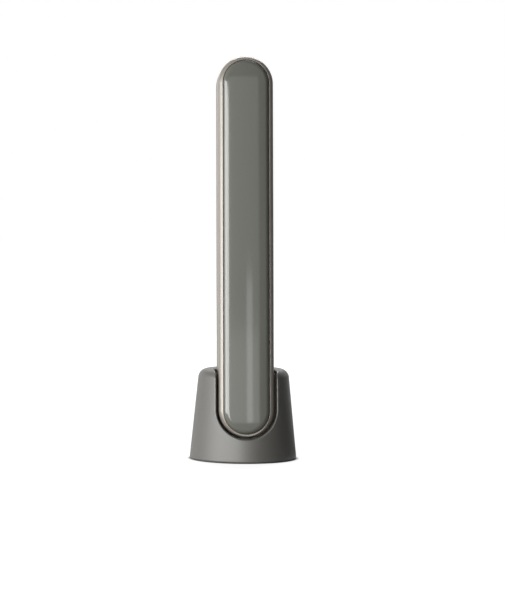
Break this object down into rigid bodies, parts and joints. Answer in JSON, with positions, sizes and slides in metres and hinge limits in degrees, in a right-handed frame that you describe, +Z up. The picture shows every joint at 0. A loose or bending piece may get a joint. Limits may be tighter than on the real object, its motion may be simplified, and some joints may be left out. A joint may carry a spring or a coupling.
{
  "type": "led facial wand",
  "caption": "Slim upright light therapy wand with rounded ends and a glossy crowned cover, standing in the slotted pocket of a tapered round charging cradle.",
  "frame": {"origin": "centre of the cradle's underside, where it rests on the table", "axes": "+Z up, -Y towards the wand's cover and the cradle's slot, +X across the wand, to the right seen from the front"},
  "size_m": [0.0582, 0.0582, 0.2189],
  "materials": {
    "cover": "gloss",
    "rim": "satin metallic",
    "casing": "satin",
    "treatment_metal": "polished",
    "window": "translucent",
    "seal": "matte",
    "tray": "white",
    "circuit_board": "satin",
    "red_diode": "gloss",
    "infrared_diode": "gloss",
    "aluminium": "plain",
    "steel": "plain",
    "frame_plastic": "matte",
    "cell_wrap": "satin film",
    "foam": "matte",
    "red_wire": "satin",
    "blue_wire": "satin",
    "chip": "matte",
    "flex_film": "satin",
    "button": "satin",
    "plunger": "satin",
    "light_pipe": "clear",
    "tungsten": "plain",
    "gold_contact": "gold plated",
    "magnet": "nickel plated",
    "cradle": "fine matte",
    "pocket": "matte",
    "base": "matte",
    "foot_rubber": "matte",
    "ballast_steel": "plain",
    "socket_steel": "plain"
  },
  "bodies": {
    "cradle": {"cradle_shell": "cradle", "wand_socket": "pocket", "base_plate": "base", "foot_pad": "foot_rubber", "base_screws": "steel", "ballast_weight": "ballast_steel", "charger_board": "circuit_board", "charger_chips": "chip", "board_screws": "steel", "usb_shell": "socket_steel", "usb_tongue": "chip", "pin_block": "frame_plastic", "pin_barrels": "gold_contact", "pin_springs": "steel", "cradle_magnet": "magnet", "pin_leads": "red_wire"},
    "wand": {"front_cover": "cover", "rim_frame": "rim", "rear_shell": "casing", "treatment_ring": "treatment_metal", "led_window": "window", "window_gasket": "seal", "reflector_tray": "tray", "led_board": "circuit_board", "red_leds": "red_diode", "infrared_leds": "infrared_diode", "heat_spreader": "aluminium", "led_screws": "steel", "chassis": "frame_plastic", "battery_pack": "cell_wrap", "battery_pad": "foam", "battery_leads": "red_wire", "main_board": "circuit_board", "board_chips": "chip", "tact_switches": "chip", "led_flex": "flex_film", "indicator_lens": "light_pipe", "vibration_motor": "steel", "motor_clip": "frame_plastic", "motor_leads": "blue_wire", "contact_pads": "gold_contact", "contact_carrier": "frame_plastic", "wand_magnet": "magnet", "shell_screws": "steel"},
    "power_key": {"power_button": "button", "power_plunger": "plunger"},
    "mode_key": {"mode_button": "button", "mode_plunger": "plunger"},
    "motor_rotor": {"motor_shaft": "steel", "motor_weight": "tungsten"},
    "left_contact": {"left_pin": "gold_contact"},
    "right_contact": {"right_pin": "gold_contact"}
  },
  "joints": [
    {"name": "wand_lift", "type": "slide", "parent": "cradle", "child": "wand", "axis": [0, 0.1184, 0.993], "range_m": [0, 0.06]},
    {"name": "power_press", "type": "slide", "parent": "wand", "child": "power_key", "axis": [0, -0.993, 0.1184], "range_m": [0, 0.0005], "stiffness_N_per_m": 1500},
    {"name": "mode_press", "type": "slide", "parent": "wand", "child": "mode_key", "axis": [0, -0.993, 0.1184], "range_m": [0, 0.0005], "stiffness_N_per_m": 1500},
    {"name": "motor_spin", "type": "hinge", "parent": "wand", "child": "motor_rotor", "pos_m": [0, -0.00316, 0.11817], "axis": [0, 0.1184, 0.993], "continuous": true},
    {"name": "left_pin_press", "type": "slide", "parent": "cradle", "child": "left_contact", "axis": [0, -0.1184, -0.993], "range_m": [0, 0.0009], "stiffness_N_per_m": 600},
    {"name": "right_pin_press", "type": "slide", "parent": "cradle", "child": "right_contact", "axis": [0, -0.1184, -0.993], "range_m": [0, 0.0009], "stiffness_N_per_m": 600}
  ]
}
